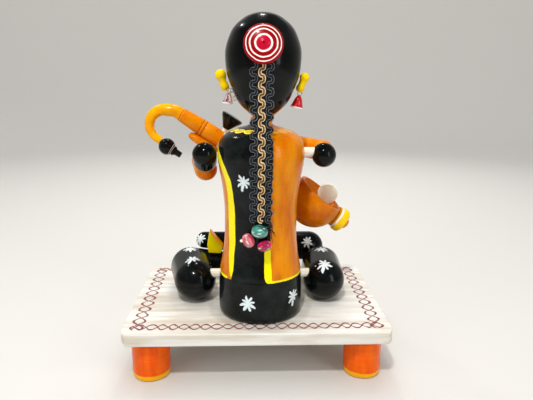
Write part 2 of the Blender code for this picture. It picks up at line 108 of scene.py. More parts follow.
def floor():
    flat, bend, top, sides = 0.90, 0.50, 1.30, 72
    path = [(flat / 2.0, 0.0), (flat, 0.0)]
    path += [(flat + bend * sin(pi * k / 24.0), bend - bend * cos(pi * k / 24.0)) for k in range(1, 13)]
    path.append((flat + bend, top))
    verts = [(0.0, 0.0, 0.0)]
    for radius, height in path:
        for i in range(sides):
            angle = 2.0 * pi * i / sides
            verts.append((radius * cos(angle), radius * sin(angle), height))
    faces = [(0, 1 + i, 1 + (i + 1) % sides) for i in range(sides)]
    for ring in range(len(path) - 1):
        for i in range(sides):
            j = (i + 1) % sides
            a = 1 + ring * sides
            faces.append((a + i, a + sides + i, a + sides + j, a + j))
    mesh = bpy.data.meshes.new("floor")
    mesh.from_pydata(verts, [], faces)
    mesh.shade_smooth()
    obj = bpy.data.objects.new("floor", mesh)
    scene.collection.objects.link(obj)
    mat = bpy.data.materials.new("floor")
    mat.use_nodes = True
    shader = mat.node_tree.nodes["Principled BSDF"]
    shader.inputs["Base Color"].default_value = srgb(206, 204, 200)
    shader.inputs["Roughness"].default_value = 0.85
    shader.inputs["Specular IOR Level"].default_value = 0.2
    mesh.materials.append(mat)


floor()


# Stool board: one sawn board of pale close-grained wood, sanded and left matt, with a crimson
# line drawn by hand round its top as a chain of two crossing waves. The torso is glued on it.
BOARD_WIDTH, BOARD_DEPTH, SEAT = 0.1400, 0.0967, 0.0298
BODY_X, BODY_Y = 0.0017, -0.0172


class Amount:
    """A number that varies over a surface; plain sums on it add the nodes that work them out."""

    def __init__(self, nodes, socket):
        self.nodes = nodes
        self.socket = socket

    def __add__(self, other):
        return self.nodes.math("ADD", self, other)

    def __sub__(self, other):
        return self.nodes.math("SUBTRACT", self, other)

    def __rsub__(self, other):
        return self.nodes.math("SUBTRACT", other, self)

    def __mul__(self, other):
        return self.nodes.math("MULTIPLY", self, other)

    def __truediv__(self, other):
        return self.nodes.math("DIVIDE", self, other)

    def __abs__(self):
        return self.nodes.math("ABSOLUTE", self)

    __radd__, __rmul__ = __add__, __mul__


class Nodes:
    """A finish in the making: its material, and short calls for the nodes that colour it."""

    def __init__(self, name):
        self.mat = bpy.data.materials.new(name)
        self.mat.use_nodes = True
        self.tree = self.mat.node_tree
        self.shader = self.tree.nodes["Principled BSDF"]
        self.place = self.node("TexCoord", {}, "Object")

    def plug(self, socket, value):
        if isinstance(value, Amount):
            value = value.socket
        if isinstance(value, bpy.types.NodeSocket):
            self.tree.links.new(value, socket)
        elif value is not None:
            socket.default_value = tuple(value) if isinstance(value, Vector) else value

    def node(self, kind, inputs, output=0, **settings):
        node = self.tree.nodes.new("ShaderNode" + kind)
        for name, value in settings.items():
            setattr(node, name, value)
        for name, value in inputs.items():
            if value is not None:
                self.plug(node.inputs[name], value)
        return node.outputs[output]

    def math(self, op, a, b=None):
        return Amount(self, self.node("Math", {0: a, 1: b}, operation=op))

    def vec(self, op, a, b=None, scale=None):
        number = op in ("DOT_PRODUCT", "LENGTH", "DISTANCE")
        inputs = {0: a, 1: b, "Scale": scale}
        out = self.node("VectorMath", inputs, "Value" if number else "Vector", operation=op)
        return Amount(self, out) if number else out

    def xyz(self):
        node = self.tree.nodes.new("ShaderNodeSeparateXYZ")
        self.plug(node.inputs[0], self.place)
        return [Amount(self, out) for out in node.outputs]

    def join(self, x, y, z):
        return self.node("CombineXYZ", {0: x, 1: y, 2: z})

    def along(self, start, axis):
        """Distance in mm from a start along an axis."""
        return self.vec("DOT_PRODUCT", self.vec("SUBTRACT", self.place, start), axis) * 1000.0

    def noise(self, scale, detail=3.0, where=None):
        inputs = {"Scale": scale, "Detail": detail, "Roughness": 0.55}
        inputs["Vector"] = self.place if where is None else where
        return Amount(self, self.node("TexNoise", inputs, "Fac"))

    def mix(self, share, a, b):
        return self.node("Mix", {0: share, 6: a, 7: b}, 2, data_type="RGBA")

    def span(self, value, low, high, out_low=0.0, out_high=1.0):
        """A number carried from one range to another and held at its ends."""
        ends = {0: value, 1: low, 2: high, 3: out_low, 4: out_high}
        return Amount(self, self.node("MapRange", ends))

    def clouded(self, light, dark, scale, low=0.35, where=None):
        """Colour that drifts softly between two tones."""
        return self.mix(self.span(self.noise(scale, 3.0, where), low, 0.7), light, dark)

    def field(self, name):
        return Amount(self, self.node("Attribute", {}, "Fac", attribute_name=name))

    def bump(self, height, strength, distance):
        return self.node("Bump", {"Strength": strength, "Distance": distance, "Height": height})

    def finish(self, colour, rough, normal=None, coat=None, coat_rough=None):
        inputs = {"Base Color": colour, "Roughness": rough, "Normal": normal,
                  "Coat Weight": coat, "Coat Roughness": coat_rough}
        for name, value in inputs.items():
            self.plug(self.shader.inputs[name], value)
        return self.mat


def circle(count):
    """Cosine and sine of directions evenly spaced all round."""
    return [(cos(2.0 * pi * i / count), sin(2.0 * pi * i / count)) for i in range(count)]


def shell(rings, closed=False):
    """Vertices and faces over rings of points; a ring of one is a pole, and closed joins the ends."""
    numbers, verts, faces = [], [], []
    for ring in rings:
        numbers.append(range(len(verts), len(verts) + len(ring)))
        verts += [tuple(point) for point in ring]
    for low, high in zip(numbers, numbers[1:] + (numbers[:1] if closed else [])):
        count = max(len(low), len(high))
        for i in range(count):
            j = (i + 1) % count
            if len(low) == 1:
                faces.append((low[0], high[j], high[i]))
            elif len(high) == 1:
                faces.append((low[i], low[j], high[0]))
            else:
                faces.append((low[i], low[j], high[j], high[i]))
    if not closed:
        faces += [tuple(end) for end in (numbers[0][::-1], numbers[-1]) if len(end) > 1]
    return verts, faces


def add_piece(name, verts, faces, mat, slot, nodes=(), sharp=35.0):
    mesh = bpy.data.meshes.new(name)
    mesh.from_pydata(verts, [], faces)
    mesh.update()
    bm = bmesh.new()
    bm.from_mesh(mesh)
    bmesh.ops.recalc_face_normals(bm, faces=bm.faces)
    bm.to_mesh(mesh)
    bm.free()
    mesh.shade_smooth()
    mesh.set_sharp_from_angle(angle=radians(sharp))
    mesh.materials.append(mat)
    obj = bpy.data.objects.new(name, mesh)
    scene.collection.objects.link(obj)
    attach(obj, "root")
    if nodes:
        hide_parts(*nodes)
    return obj


def stool_wood():
    n = Nodes("stool_wood")
    x, y, z = n.xyz()
    warp = n.noise(95.0, 2.0, n.join(x * 0.10, y, z))
    streaks = n.noise(260.0, 4.0, n.join(x * 0.06, y + warp * 0.006, z))
    fine = n.noise(2600.0, 3.0, n.join(x * 0.04, y, z))
    broad = n.noise(120.0, 2.0, n.join(x * 0.22, y, z))
    pale = n.mix(n.span(streaks, 0.40, 0.66), srgb(228, 226, 220), srgb(202, 194, 180))
    pale = n.mix(n.span(fine, 0.55, 0.80, 0.0, 0.40), pale, srgb(160, 152, 140))
    pale = n.mix(n.span(n.noise(28.0, 2.0), 0.45, 0.75, 0.0, 0.5), pale, srgb(222, 222, 220))
    pale = n.mix(n.span(broad, 0.50, 0.68, 0.0, 0.55), pale, srgb(186, 168, 142))

    # The wood is darker in a ring round the foot of the torso.
    off_foot = n.vec("LENGTH", n.join(x - BODY_X, y - BODY_Y, 0.0)) + broad * 0.006
    pale = n.mix(n.span(off_foot, 0.0300, 0.0325, 0.32, 0.0), pale, srgb(150, 146, 132))

    # Per pair of edges: half the board each way, the chain's inset, a wave's length and swing.
    half_w, half_d = BOARD_WIDTH / 2.0, BOARD_DEPTH / 2.0
    shake = n.noise(150.0, 2.0)
    lines = []
    for own, other, half, half_other, inset, wave_length, swing in (
            (y, x, half_d, half_w, 0.0082, 0.0112, 0.0026), (x, y, half_w, half_d, 0.0078, 0.0142, 0.0030)):
        off = half - abs(own) - inset + (shake - 0.5) * 0.0016
        wave = n.math("SINE", (other + shake * 0.003) * (2.0 * pi / wave_length)) * swing
        near = n.math("MINIMUM", abs(off - wave), abs(off + wave))
        line = n.span(near, 0.00046, 0.00078, 1.0, 0.0) * n.math("LESS_THAN", abs(off), swing + 0.0008)
        lines.append(line * n.math("GREATER_THAN", half_other - 0.0052 - abs(other), 0.0))
    ink = n.math("MAXIMUM", *lines) * n.math("GREATER_THAN", z, SEAT - 0.0004)
    ink = ink * n.span(n.noise(900.0, 2.0), 0.25, 0.45, 0.55, 1.0)
    colour = n.mix(ink, pale, srgb(112, 2, 20))
    rough = n.span(fine, 0.3, 0.7, 0.48, 0.62)
    return n.finish(colour, rough, n.bump(fine * 0.6 + streaks * 0.4, 0.25, 0.00025), 0.15, 0.35)


def stool_board():
    thick, ease = 0.0068, 0.0009
    corner_x, corner_y = 0.004, 0.009
    quarter_turn = [pi / 2.0 * k / 6.0 for k in range(7)]
    levels = [(SEAT - thick + ease * (1.0 - cos(a)), ease * (1.0 - sin(a))) for a in quarter_turn]
    levels += [(SEAT - ease * (1.0 - sin(a)), ease * (1.0 - cos(a))) for a in quarter_turn]
    rings = []
    for z, inset in levels:
        ring = []
        for quarter, (sx, sy) in enumerate(((1.0, 1.0), (-1.0, 1.0), (-1.0, -1.0), (1.0, -1.0))):
            for i in range(13):
                angle = (quarter + i / 12.0) * pi / 2.0
                ring.append((sx * (BOARD_WIDTH / 2.0 - corner_x) + (corner_x - inset) * cos(angle),
                             sy * (BOARD_DEPTH / 2.0 - corner_y) + (corner_y - inset) * sin(angle), z))
        rings.append(ring)
    add_piece("stool_board", *shell(rings), stool_wood(), "stool_wood", ["stool_top"], 50.0)


stool_board()


# Stool legs: four turned legs glued under the board, in orange-red lacquer laid on at the
# lathe, each with a yellow band round its slightly rounded foot.
def turned(name, profile_mm, start, direction, segments, mat, slot, nodes=(), sharp=35.0):
    """Solid of revolution, its (height, radius) profile in mm from the start along the direction."""
    turn = Vector((0.0, 0.0, 1.0)).rotation_difference(Vector(direction).normalized()).to_matrix()
    start = Vector(start)
    around = circle(segments)
    rings = []
    for height, radius in profile_mm:
        points = around if radius >= 1e-5 else [(0.0, 0.0)]
        rings.append([start + turn @ (Vector((radius * c, radius * s, height)) * MM) for c, s in points])
    return add_piece(name, *shell(rings), mat, slot, nodes, sharp)


def lacquer(n, colour, axis=(0.0, 0.0, 1.0), streak=0.16, gloss=0.16, wrinkle=None):
    """Lathe lacquer: faint rings of tone round the axis under a thin clear gloss."""
    along = n.vec("DOT_PRODUCT", n.place, Vector(axis).normalized())
    ring = n.noise(1500.0, 4.0, n.join(along, 0.0, 0.0))
    cloud = n.noise(85.0, 3.0)
    speck = n.noise(1300.0, 2.0)
    tone = n.span(ring, 0.3, 0.7, 1.0 - streak, 1.0 + 0.4 * streak)
    tone = tone + n.span(cloud, 0.3, 0.7, -0.7 * streak, 0.4 * streak)
    rough = n.span(cloud, 0.3, 0.7, gloss, gloss + 0.10) + n.span(speck, 0.6, 0.8, 0.0, 0.12)
    height, groove = ring * 0.7 + speck * 0.3, 0.10
    if wrinkle is not None:
        height, groove = height * groove + wrinkle, 1.0
    n.shader.inputs["Specular IOR Level"].default_value = 0.10
    return n.finish(n.vec("SCALE", colour, scale=tone), rough, n.bump(height, groove, 0.0002), 0.14, 0.05)


def stool_legs():
    top = 23.0
    profile = [(0.0, 0.0), (0.0, 8.4)]
    profile += [(1.3 - 1.3 * cos(a * pi / 12), 8.4 + 1.4 * sin(a * pi / 12)) for a in range(1, 7)]
    profile += [(3.0, 9.95), (6.0, 10.0), (top - 5.0, 10.0), (top - 3.2, 9.97), (top - 3.0, 9.8),
                (top - 2.8, 9.95), (top - 0.6, 9.9), (top, 9.6), (top, 0.0)]
    for end, leg_y in (("rear", -0.0337), ("front", 0.0337)):
        for side, leg_x in (("left", -0.0568), ("right", 0.0568)):
            n = Nodes(f"leg_lacquer_{end}_{side}")
            x, y, z = n.xyz()
            body = n.clouded(srgb(246, 106, 0), srgb(234, 76, 0), 330.0, where=n.join(x, y, z * 0.15))
            level = z + (n.noise(90.0, 1.0) - 0.5) * 0.0008
            body = n.mix(n.span(level, 0.0030, 0.0034, 1.0, 0.0), body, srgb(248, 176, 18))
            turned(f"stool_leg_{end}_{side}_lacquered", profile, (leg_x, leg_y, 0.0), (0, 0, 1), 64,
                   lacquer(n, body), "leg_lacquer", [f"stool_leg_{end}_{side}"])


stool_legs()


# Torso: one turned column with a domed shoulder and a slim neck, in black lacquer. The sari is
# painted on: orange cloth with a yellow border, an open back, a ring of yellow petals at the
# neckline and white flowers.
def curve_point(points, i, t):
    """Point on a flowing curve through the points, a share t of the way from point i to the next."""
    a, b, c, d = (points[min(max(k, 0), len(points) - 1)] for k in range(i - 1, i + 3))
    return 0.5 * (2 * b + (c - a) * t + (2 * a - 5 * b + 4 * c - d) * t * t
                  + (3 * b - a - 3 * c + d) * t ** 3)


def smooth_profile(points, step):
    """Profile along a flowing curve through the given (height, radius) pairs."""
    points = [np.array(point) for point in points]
    out = [tuple(points[0])]
    for i in range(len(points) - 1):
        parts = max(1, int(hypot(*(points[i + 1] - points[i])) / step))
        for k in range(1, parts + 1):
            height, radius = curve_point(points, i, k / parts)
            out.append((height, max(radius, 0.0)))
    return out


def polygon_distance(px, py, corners):
    """Signed distance to a polygon, positive inside, for arrays of points."""
    best = np.full(px.shape, 1e9)
    inside = np.zeros(px.shape, bool)
    for (x0, y0), (x1, y1) in zip(corners, corners[1:] + corners[:1]):
        dx, dy = x1 - x0, y1 - y0
        t = np.clip(((px - x0) * dx + (py - y0) * dy) / (dx * dx + dy * dy + 1e-12), 0.0, 1.0)
        best = np.minimum(best, np.hypot(px - x0 - t * dx, py - y0 - t * dy))
        inside ^= ((y0 > py) != (y1 > py)) & (px < dx * (py - y0) / (dy if dy else 1e-12) + x0)
    return np.where(inside, best, -best)


def add_field(obj, name, values):
    attr = obj.data.attributes.new(name, "FLOAT", "POINT")
    attr.data.foreach_set("value", np.asarray(values, dtype=np.float32))


def unrolled(obj, axis_x, axis_y):
    """Angle in degrees from the back, round by the right, and height in mm of each vertex."""
    co = np.empty(len(obj.data.vertices) * 3, dtype=np.float32)
    obj.data.vertices.foreach_get("co", co)
    co = co.reshape(-1, 3)
    return np.degrees(np.arctan2(co[:, 0] - axis_x, -(co[:, 1] - axis_y))), co[:, 2] * 1000.0


def flower(n, centre, u, v, radius, turn):
    """Mask of a brushed flower in the plane of u and v, with uneven petals, the lower ones drawn out."""
    petals, tail = 8, 0.35
    shake = n.join(*[n.noise(scale, 1.0) - 0.5 for scale in (520.0, 610.0, 570.0)])
    off = n.vec("SUBTRACT", n.vec("ADD", n.place, n.vec("SCALE", shake, scale=0.0013)), centre)
    a, b = n.vec("DOT_PRODUCT", off, u), n.vec("DOT_PRODUCT", off, v)
    angle = n.math("ARCTAN2", b, a)
    uneven = n.math("SINE", angle * 3.0 + 7.0 * turn) * 0.14
    down = n.math("MAXIMUM", n.math("SINE", angle + 0.25) * -1.0, 0.0)
    r = n.math("SQRT", a * a + b * b) / (uneven + 1.0 + n.math("POWER", down, 3.0) * tail)
    fold = n.math("PINGPONG", angle + (turn + 4.0 * pi), pi / petals)
    out = (r * n.math("COSINE", fold) - 0.60 * radius) / (0.42 * radius)
    across = r * n.math("SINE", fold) / (0.165 * radius)
    petal = n.span(out * out + across * across, 0.85, 1.15, 1.0, 0.0)
    heart = n.span(r, 0.26 * radius, 0.34 * radius, 1.0, 0.0)
    return n.math("MAXIMUM", petal, heart) * n.math("LESS_THAN", n.vec("LENGTH", off), 1.7 * radius)


def torso_paint():
    n = Nodes("body_lacquer_torso")
    x, y, z = n.xyz()
    black = n.clouded(srgb(9, 11, 11), srgb(24, 31, 31), 120.0, 0.4)
    orange = n.clouded(srgb(228, 140, 0), srgb(204, 102, 0), 140.0, where=n.join(x, y, z * 0.3))
    hand = (n.noise(160.0, 2.0) - 0.5) * 0.9
    sari = n.field("sari")
    colour = n.mix(n.span(sari + hand, -0.07, 0.07), black, orange)
    colour = n.mix(n.span(n.field("border") + hand, -0.07, 0.07), colour, srgb(252, 238, 10))
    colour = n.mix(n.span(z, 0.1318, 0.1320), colour, srgb(232, 150, 30))

    # Petals round the neckline, in sizes seen from above; on the steep shoulder they run longer.
    from_axis, half_wide, half_long, spacing = 0.0144, 0.0029, 0.0021, radians(24.0)
    px, py = x - BODY_X, y - BODY_Y
    rho = n.math("SQRT", px * px + py * py)
    angle = n.math("ARCTAN2", px, py * -1.0) + 4.0 * pi
    u = (n.math("MODULO", angle + 0.244, spacing) - 0.5 * spacing) * rho / half_wide
    v = (rho - from_axis) / half_long
    petal = u * u + v * v + hand * 0.25
    top = n.math("GREATER_THAN", z, 0.1240)
    bare = 1.0 - sari * 2.0
    outer = n.span(petal, 0.95, 1.1, 1.0, 0.0) * top * n.span(bare, 0.4, 0.6, 0.22, 1.0)
    colour = n.mix(outer, colour, srgb(252, 240, 90))
    inner = n.span(petal, 0.50, 0.62, 1.0, 0.0) * top * n.span(bare, 0.4, 0.6)
    colour = n.mix(inner, colour, srgb(226, 196, 10))

    # Flowers: angle from the back, height, distance from the axis, size and turn.
    for degrees_round, height, radius, size, turn in (
            (-25.6, 0.1051, 0.0212, 0.0036, 0.2), (-17.7, 0.0419, 0.0227, 0.0040, 0.5),
            (48.5, 0.0430, 0.0227, 0.0038, 0.1), (-95.0, 0.0430, 0.0227, 0.0036, 0.3),
            (108.0, 0.0415, 0.0227, 0.0036, 0.6), (160.0, 0.0425, 0.0227, 0.0036, 0.2),
            (-150.0, 0.0420, 0.0227, 0.0036, 0.0)):
        c, s = cos(radians(degrees_round)), sin(radians(degrees_round))
        centre = (BODY_X + radius * s, BODY_Y - radius * c, height)
        mask = flower(n, centre, (c, s, 0.0), (0.0, 0.0, 1.0), size, turn)
        colour = n.mix(mask, colour, srgb(222, 234, 238))

    # The thick black coat has wrinkled as it dried, below the beads and on the left shoulder.
    crinkle = n.noise(620.0, 2.0, n.vec("MULTIPLY", n.place, (1.0, 1.0, 1.5)))
    spots = [n.span(n.vec("DISTANCE", n.place, place), 0.6 * reach, reach, 1.0, 0.0) for place, reach in (
        ((-0.0020, -0.0400, 0.0640), 0.0075), ((-0.0090, -0.0360, 0.1200), 0.0050))]
    wrinkle = n.math("MAXIMUM", *spots) * crinkle
    return lacquer(n, colour, streak=0.10, gloss=0.14, wrinkle=wrinkle)


def torso():
    profile = [(0.05, 20.9), (0.4, 21.6), (1.2, 22.2), (2.0, 22.6)] + smooth_profile((
        (3.0, 22.75), (7.0, 22.8), (13.0, 22.7), (19.0, 22.5), (22.8, 22.2), (23.2, 22.05), (23.6, 22.15),
        (25.0, 22.0), (33.0, 20.5), (42.0, 19.5), (50.0, 19.3), (58.0, 19.3), (66.0, 19.9), (74.0, 21.0),
        (81.0, 22.2), (84.5, 22.6), (86.5, 22.7), (88.5, 22.6), (91.5, 22.2), (93.5, 21.5), (95.0, 20.6),
        (96.5, 19.3), (97.6, 17.8), (98.6, 16.0), (99.4, 13.9), (100.2, 11.5), (100.8, 9.3), (101.3, 7.4),
        (101.9, 6.2), (102.8, 5.6), (104.0, 5.45), (105.6, 5.4)), 0.8)
    obj = turned("torso_painted", profile, (BODY_X, BODY_Y, SEAT), (0, 0, 1), 176,
                 torso_paint(), "body_lacquer", ["torso"], 60.0)
    angle, height = unrolled(obj, BODY_X, BODY_Y)
    degree = radians(1.0) * 20.5
    around = np.where(angle < 0.0, angle + 360.0, angle) * degree

    def inside(corners):
        """Distance in mm inside an outline given in degrees round from the back and mm of height."""
        return polygon_distance(around, height, [(a * degree, z) for a, z in corners])

    left_edge = [
        (314.9, 52.6), (317.2, 58.0), (316.0, 66.0), (316.4, 74.0), (315.6, 87.1), (313.4, 102.7),
        (311.8, 105.7), (304.8, 111.5), (295.2, 117.0), (280.0, 120.5), (262.0, 123.6), (240.0, 127.0),
        (215.0, 129.0)]
    band_edge = [
        (309.4, 57.0), (303.0, 66.0), (300.0, 75.0), (298.9, 86.0), (300.0, 96.0), (299.5, 105.0),
        (291.9, 110.7), (276.0, 115.4), (258.0, 118.6), (236.0, 122.4), (213.0, 125.0)]
    right_edge = [(3.6, 69.0), (3.6, 56.0), (5.2, 53.6), (8.2, 52.9)]
    hem_line = [(40.0, 52.7), (130.0, 52.6), (230.0, 52.5), (300.0, 52.5)]
    add_field(obj, "sari", inside([(13.5, 134.0), (13.5, 70.4)] + right_edge + hem_line + left_edge
                                  + [(200.0, 134.0)]))
    stripe = right_edge + [(13.8, 53.2), (13.8, 70.4)]
    hem = [(7.0, 52.8), (307.0, 52.4), (307.0, 53.6), (7.0, 54.0)]
    front = [(209.0, 129.5), (196.0, 124.0), (190.0, 112.0), (186.0, 90.0), (184.0, 53.0),
             (190.0, 53.0), (192.5, 90.0), (197.0, 110.0), (204.0, 121.0), (215.0, 125.5)]
    parts = [inside(corners) for corners in (left_edge + band_edge[::-1], stripe, hem, front)]
    add_field(obj, "border", np.maximum.reduce(parts))


torso()


# Head: a turned egg glued on the neck, with black hair behind and above and skin-coloured
# lacquer at the front, where a plain face is painted with a fine brush.
HEAD_X = 0.0025


def head_paint():
    n = Nodes("body_lacquer_head")
    x, y, z = n.xyz()
    hair = n.clouded(srgb(6, 7, 7), srgb(17, 20, 20), 110.0, 0.4)
    hand = (n.noise(170.0, 2.0) - 0.5) * 0.8
    face = n.mix(n.noise(60.0, 2.0), srgb(240, 168, 52), srgb(228, 140, 30))
    colour = n.mix(n.span(n.field("face") + hand, -0.07, 0.07), hair, face)
    ahead = n.math("GREATER_THAN", y, BODY_Y)
    middle = x - HEAD_X
    side = abs(middle)

    def oval(across, cx, cz, rx, rz):
        u, v = (across - cx) / rx, (z - cz) / rz
        return u * u + v * v

    def paint(colour, value, low, high, tint):
        return n.mix(n.span(value, low, high, 1.0, 0.0) * ahead, colour, tint)

    dark, lip_red = srgb(16, 12, 12), srgb(190, 20, 30)
    eye_x, eye_z, brow_z, nose_z = 0.0072, 0.1585, 0.1640, 0.1537
    eye = oval(side, eye_x, eye_z, 0.0036, 0.0015)
    colour = paint(colour, eye, 1.35, 1.6, dark)
    colour = paint(colour, eye, 0.85, 1.0, srgb(244, 240, 232))
    colour = paint(colour, oval(side, eye_x, eye_z, 0.0013, 0.0014), 0.9, 1.1, dark)
    arch = z - (brow_z - n.math("POWER", side - eye_x, 2.0) * 75.0)
    brow = n.math("MAXIMUM", abs(arch) / 0.00045, abs(side - eye_x) / 0.0042)
    colour = paint(colour, brow, 0.9, 1.1, dark)
    nose = abs(oval(middle, 0.0, nose_z, 0.0013, 0.0010) - 1.0) + n.math("GREATER_THAN", z, nose_z) * 4.0
    colour = paint(colour, nose, 0.35, 0.5, srgb(150, 60, 20))
    colour = paint(colour, oval(side, 0.0011, 0.1489, 0.0022, 0.0008), 0.9, 1.1, lip_red)
    colour = paint(colour, oval(middle, 0.0, 0.1480, 0.0019, 0.0009), 0.9, 1.1, lip_red)
    colour = paint(colour, oval(middle, 0.0, 0.1665, 0.0013, 0.0013), 0.9, 1.1, srgb(200, 16, 30))
    return lacquer(n, colour, streak=0.10, gloss=0.14)


def head():
    profile = [(105.0, 4.4)] + smooth_profile((
        (105.2, 4.6), (107.1, 6.6), (110.3, 10.2), (114.3, 13.4), (119.6, 15.7), (126.4, 18.2), (134.5, 19.1),
        (140.1, 18.7), (146.5, 16.4), (150.0, 14.1), (152.5, 11.3), (154.6, 8.2), (155.9, 4.7), (156.3, 2.4),
        (156.5, 0.0)), 0.8)
    obj = turned("head_painted", profile, (HEAD_X, BODY_Y, SEAT), (0, 0, 1), 144,
                 head_paint(), "body_lacquer", ["head"], 60.0)
    angle, height = unrolled(obj, HEAD_X, BODY_Y)
    hairline = np.interp(np.abs(angle), (0, 40, 52, 62, 75, 88, 100, 120, 150, 172, 180),
                         (135.5, 136.4, 137.4, 138.6, 140.6, 144.5, 152.0, 164.0, 172.0, 173.5, 176.0))
    add_field(obj, "face", (hairline - height) * 0.8)


head()


# Hair disc: a flat turned button glued to the back of the head, deep red with white rings cut
# and filled at the lathe round a raised crimson boss.
def hair_disc():
    out = Vector((0.0, -cos(radians(12.0)), sin(radians(12.0))))
    centre = Vector((0.0019, -0.0368, 0.1696))
    n = Nodes("red_lacquer_disc")
    off = n.vec("SUBTRACT", n.place, centre)
    axial = n.vec("DOT_PRODUCT", off, out)
    flat = n.vec("LENGTH", n.vec("SUBTRACT", off, n.vec("SCALE", out, scale=axial)))
    flat = flat + (n.noise(260.0, 2.0) - 0.5) * 0.0006
    red, white, crimson = srgb(146, 4, 16), srgb(244, 232, 226), srgb(184, 8, 44)
    colour = n.mix(n.span(flat, 0.00335, 0.00345), crimson, white)
    for edge, tint in ((0.00425, red), (0.00605, white), (0.0067, red), (0.0079, white), (0.00835, red)):
        colour = n.mix(n.span(flat, edge - 0.00006, edge + 0.00006), colour, tint)
    colour = n.mix(n.span(flat, 0.0005, 0.0006, 1.0, 0.0), colour, srgb(110, 8, 24))
    profile = [
        (-0.4, 0.0), (-0.4, 7.4), (0.0, 8.6), (0.5, 9.15), (1.0, 9.35), (1.5, 9.3), (1.9, 9.0), (2.15, 8.5),
        (2.25, 8.0), (2.5, 7.0), (2.75, 6.3), (2.9, 5.6), (3.1, 4.6), (3.15, 4.2), (3.05, 3.8), (3.1, 3.4),
        (3.35, 2.6), (3.65, 1.8), (3.85, 0.9), (3.9, 0.0)]
    turned("hair_disc_ringed", profile, centre, out, 96, lacquer(n, colour, out, 0.08, 0.18),
           "red_lacquer", ["hair_disc"], 50.0)


hair_disc()


# Ear knobs: small turned knobs of two beads in golden lacquer, glued to the sides of the head.
# Each is a lower and an upper ball with a narrow waist between them.
def arc(centre, radius, first, last, steps):
    """Stretch of a ball's profile round a height, from one angle in degrees to another."""
    angles = [radians(first + (last - first) * i / steps) for i in range(steps + 1)]
    return [(centre - radius * cos(a), max(radius * sin(a), 0.0)) for a in angles]


def ears():
    low = 2.2
    for side, top, bottom, high in (("left", (-18.9, -17.2, 156.2), (-16.9, -17.2, 150.6), 2.8),
                                    ("right", (23.5, -17.2, 155.2), (21.4, -17.2, 150.0), 2.5)):
        n = Nodes(f"yellow_lacquer_ear_{side}")
        top, bottom = Vector(top) * MM, Vector(bottom) * MM
        axis = (top - bottom).normalized()
        length = (top - bottom).length * 1000.0
        colour = n.mix(n.noise(300.0, 2.0), srgb(255, 224, 0), srgb(246, 188, 0))
        profile = arc(0.0, low, 0, 110, 11) + [(0.36 * length, 1.75)] + arc(length, high, 50, 180, 13)
        turned(f"ear_{side}_gilded", profile, bottom, axis, 40, lacquer(n, colour, axis),
               "yellow_lacquer", [f"ear_{side}"], 50.0)


ears()


# Earrings: clear plastic bells with a white lip, hung from the ears by a ring of wire, pale
# pink on the left and cherry red on the right. The left one hangs in a small tangle of wire.
def wire_ring(name, centre, radius, wire, normal, mat):
    normal = Vector(normal).normalized()
    a = normal.orthogonal().normalized()
    b = normal.cross(a)
    rings = []
    for c, s in circle(28):
        out = a * c + b * s
        rings.append([Vector(centre) + out * (radius + wire * p) + normal * wire * q for p, q in circle(8)])
    add_piece(name, *shell(rings, closed=True), mat, "clear_plastic")


def earrings():
    metal = Nodes("earring_wire")
    metal.shader.inputs["Metallic"].default_value = 1.0
    metal.finish(srgb(214, 205, 190), metal.span(metal.noise(2500.0, 2.0), 0.3, 0.7, 0.18, 0.34))
    shape = ((0.35, 0.0), (0.3, 0.6), (0.0, 0.82), (0.1, 0.95), (0.45, 1.0), (0.8, 0.96), (1.5, 0.85),
             (2.5, 0.74), (3.5, 0.65), (4.3, 0.52), (5.0, 0.37), (5.6, 0.2), (5.9, 0.0))
    for side, place, lean, radius, height, tint, clear in (
            ("left", (-15.6, -17.2, 142.0), 7.0, 2.8, 5.9, srgb(238, 206, 212), 0.95),
            ("right", (19.7, -17.2, 140.1), 12.0, 3.3, 6.8, srgb(214, 20, 36), 0.35)):
        place = Vector(place) * MM
        axis = Vector((sin(radians(lean)), 0.0, cos(radians(lean))))
        n = Nodes(f"clear_plastic_{side}")
        lip = n.span(n.along(place, axis), 0.6, 0.8, 1.0, 0.0)
        n.plug(n.shader.inputs["Transmission Weight"], (1.0 - lip) * clear)
        n.shader.inputs["IOR"].default_value = 1.47
        n.finish(n.mix(lip, tint, srgb(248, 244, 242)), n.span(n.noise(700.0, 2.0), 0.3, 0.7, 0.05, 0.16),
                 None, 0.5, 0.05)
        profile = [(h * height / shape[-1][0], r * radius) for h, r in shape]
        turned(f"earring_{side}_bell", profile, place, axis, 40, n.mat, "clear_plastic",
               [f"earring_{side}"], 45.0)
        ring_at = place + axis * (height + 0.6) * MM
        wire_ring(f"earring_{side}_ring", ring_at, 0.0011, 0.00022, (0.4, 1.0, 0.0), metal.mat)
    for k, (x, z, radius) in enumerate(((-14.0, 148.6, 1.2), (-12.9, 146.6, 1.4), (-11.6, 144.8, 1.1))):
        place, normal = Vector((x, -20.2, z)) * MM, (0.3 - 0.4 * (k % 2), 1.0, 0.5)
        wire_ring(f"earring_left_loop_{k}", place, radius * MM, 0.00024, normal, metal.mat)


earrings()


# Braid: gimp trim glued below the disc as the plait. Three winding lanes of three fine cords
# each, black at the sides and cream with brown in the middle, are worked on a thin black
# ground, and the right-hand lane is frayed at its cut end. The side lanes' edge cords are
# coloured grey as a painted sheen on black satin cord.
BRAID_X, BRAID_WAVE, LANE = 0.0013, 5.9, 3.85


def braid_route():
    """Points down the plait's middle line in mm, and the length from its top to each."""
    route = [Vector((0.0, y, z)) for z, y in (
        (161.6, -38.6), (159.8, -38.2), (156.0, -37.4), (150.0, -36.9), (138.0, -38.2), (126.0, -40.3),
        (119.0, -41.4), (113.0, -41.2), (106.0, -40.2), (98.0, -39.2), (90.0, -38.7), (85.0, -38.6),
        (81.0, -38.6))]
    dense = [curve_point(route, i, k / 24.0) for i in range(len(route) - 1) for k in range(24)]
    dense.append(route[-1])
    lengths = [0.0]
    for a, b in zip(dense, dense[1:]):
        lengths.append(lengths[-1] + (b - a).length)
    return dense, lengths


